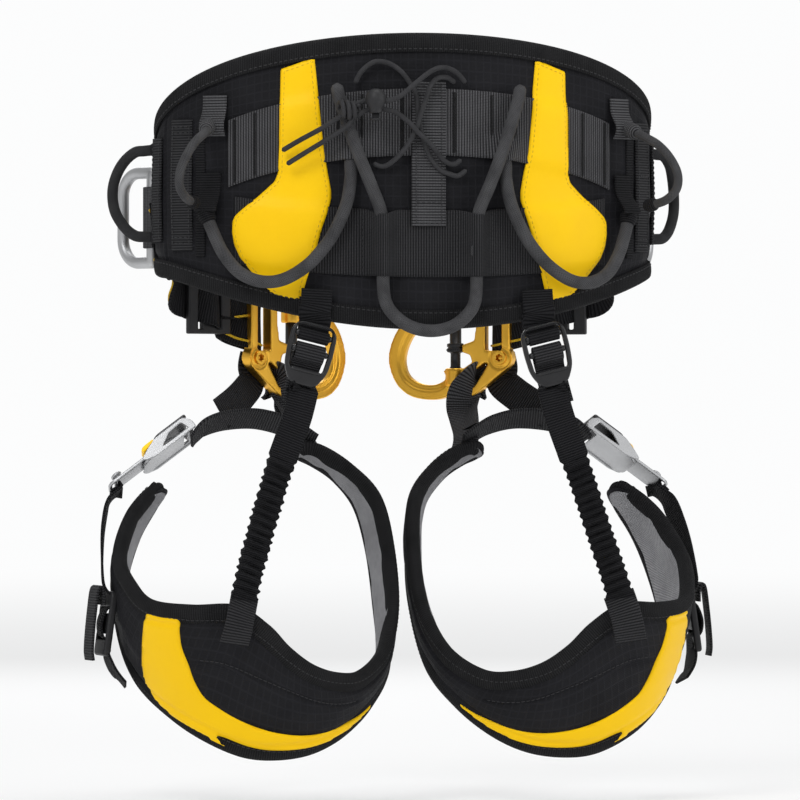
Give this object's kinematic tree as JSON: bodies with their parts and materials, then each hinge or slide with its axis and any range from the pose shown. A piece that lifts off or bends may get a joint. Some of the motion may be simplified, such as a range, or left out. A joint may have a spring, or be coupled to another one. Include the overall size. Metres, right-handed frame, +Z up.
{
  "type": "tree climbing saddle",
  "caption": "Padded climbing saddle: shaped waist belt with webbing, cord gear loops, gated front rings, side rings and leg loops on elastic risers.",
  "frame": {"origin": "centre of the waist opening, at the widest line of the belt", "axes": "+X towards the wearer's right side, +Y towards the wearer's front, +Z up"},
  "size_m": [0.4226, 0.2342, 0.4848],
  "materials": {
    "pad_foam": "grey lining cloth over foam",
    "shell_cloth": "dark ripstop cloth with a knit edge",
    "webbing": "woven polyester webbing",
    "coated_panel": "yellow coated cloth, stitched edge",
    "cord_sheath": "braided cord",
    "elastic": "gathered elastic",
    "gold_alloy": "satin anodised, warm gold",
    "silver_alloy": "satin anodised, silver",
    "black_steel": "black oxide",
    "black_plastic": "moulded, fine texture",
    "latch_yellow": "moulded",
    "leg_cloth": "dark ripstop cloth over foam"
  },
  "bodies": {
    "belt": {"belt_pad": "pad_foam", "belt_shell": "shell_cloth", "upper_webbing": "webbing", "lower_webbing": "webbing", "centre_strap": "webbing", "centre_loop": "cord_sheath", "lacing_cord": "cord_sheath", "cord_lock": "black_plastic", "side_panel_left": "coated_panel", "side_panel_right": "coated_panel", "side_strap_left": "webbing", "side_strap_right": "webbing", "gear_loop_left": "cord_sheath", "gear_loop_right": "cord_sheath", "side_loop_left": "cord_sheath", "side_loop_right": "cord_sheath", "hip_loop_left": "cord_sheath", "hip_loop_right": "cord_sheath", "front_webbing_left": "webbing", "front_webbing_right": "webbing", "belt_buckle_left": "black_steel", "belt_buckle_right": "black_steel", "ring_tab_left": "webbing", "ring_tab_right": "webbing", "riser_tab_left": "webbing", "riser_tab_right": "webbing", "riser_left": "elastic", "riser_right": "elastic"},
    "lock_button": {"cord_lock_button": "black_plastic"},
    "side_ring_left": {"side_ring_left": "silver_alloy"},
    "ladder_lock_left": {"ladder_lock_left": "black_steel"},
    "leg_left": {"ventral_plate_left": "gold_alloy", "plate_bolt_left": "gold_alloy", "leg_pad_left": "leg_cloth", "front_strap_left": "webbing", "inner_strap_left": "webbing", "outer_strap_left": "webbing", "leg_buckle_left": "silver_alloy", "strap_keeper_left": "black_plastic"},
    "gate_left": {"gate_pin_left": "black_steel"},
    "latch_left": {"buckle_latch_left": "latch_yellow"},
    "tongue_left": {"buckle_tongue_left": "silver_alloy"},
    "side_ring_right": {"side_ring_right": "silver_alloy"},
    "ladder_lock_right": {"ladder_lock_right": "black_steel"},
    "leg_right": {"ventral_plate_right": "gold_alloy", "plate_bolt_right": "gold_alloy", "leg_pad_right": "leg_cloth", "front_strap_right": "webbing", "inner_strap_right": "webbing", "outer_strap_right": "webbing", "leg_buckle_right": "silver_alloy", "strap_keeper_right": "black_plastic"},
    "gate_right": {"gate_pin_right": "black_steel"},
    "latch_right": {"buckle_latch_right": "latch_yellow"},
    "tongue_right": {"buckle_tongue_right": "silver_alloy"}
  },
  "joints": [
    {"name": "leg_swing_left", "type": "hinge", "parent": "belt", "child": "leg_left", "pos_m": [-0.0828, 0.0857, -0.089], "axis": [1, 0, 0], "range_deg": [-8, 18], "stiffness_Nm_per_rad": 6, "deforming": ["riser_left", "front_webbing_left"]},
    {"name": "side_ring_turn_left", "type": "hinge", "parent": "belt", "child": "side_ring_left", "pos_m": [-0.16856, 0.02849, -0.0225], "axis": [0, 0, -1], "range_deg": [-20, 35]},
    {"name": "ladder_lock_tilt_left", "type": "hinge", "parent": "belt", "child": "ladder_lock_left", "pos_m": [-0.07856, -0.08, -0.10322], "axis": [-0.9703, 0, 0.2419], "range_deg": [0, 20]},
    {"name": "gate_travel_left", "type": "slide", "parent": "leg_left", "child": "gate_left", "axis": [0, 0, 1], "range_m": [0, 0.012]},
    {"name": "latch_press_left", "type": "slide", "parent": "leg_left", "child": "latch_left", "axis": [0.5661, -0.3613, -0.741], "range_m": [0, 0.0025], "stiffness_N_per_m": 300},
    {"name": "tongue_slide_left", "type": "slide", "parent": "leg_left", "child": "tongue_left", "axis": [-0.8047, -0.0473, -0.5917], "range_m": [0, 0.018]},
    {"name": "leg_swing_right", "type": "hinge", "parent": "belt", "child": "leg_right", "pos_m": [0.0828, 0.0857, -0.089], "axis": [1, 0, 0], "range_deg": [-8, 18], "stiffness_Nm_per_rad": 6, "deforming": ["riser_right", "front_webbing_right"]},
    {"name": "side_ring_turn_right", "type": "hinge", "parent": "belt", "child": "side_ring_right", "pos_m": [0.16856, 0.02849, -0.0225], "axis": [0, 0, 1], "range_deg": [-20, 35]},
    {"name": "ladder_lock_tilt_right", "type": "hinge", "parent": "belt", "child": "ladder_lock_right", "pos_m": [0.07856, -0.08, -0.10322], "axis": [-0.9703, 0, -0.2419], "range_deg": [0, 20]},
    {"name": "gate_travel_right", "type": "slide", "parent": "leg_right", "child": "gate_right", "axis": [0, 0, 1], "range_m": [0, 0.012]},
    {"name": "latch_press_right", "type": "slide", "parent": "leg_right", "child": "latch_right", "axis": [-0.5661, -0.3613, -0.741], "range_m": [0, 0.0025], "stiffness_N_per_m": 300},
    {"name": "tongue_slide_right", "type": "slide", "parent": "leg_right", "child": "tongue_right", "axis": [0.8047, -0.0473, -0.5917], "range_m": [0, 0.018]},
    {"name": "lock_button_press", "type": "slide", "parent": "belt", "child": "lock_button", "axis": [0, 0, 1], "range_m": [0, 0.003], "stiffness_N_per_m": 400}
  ]
}
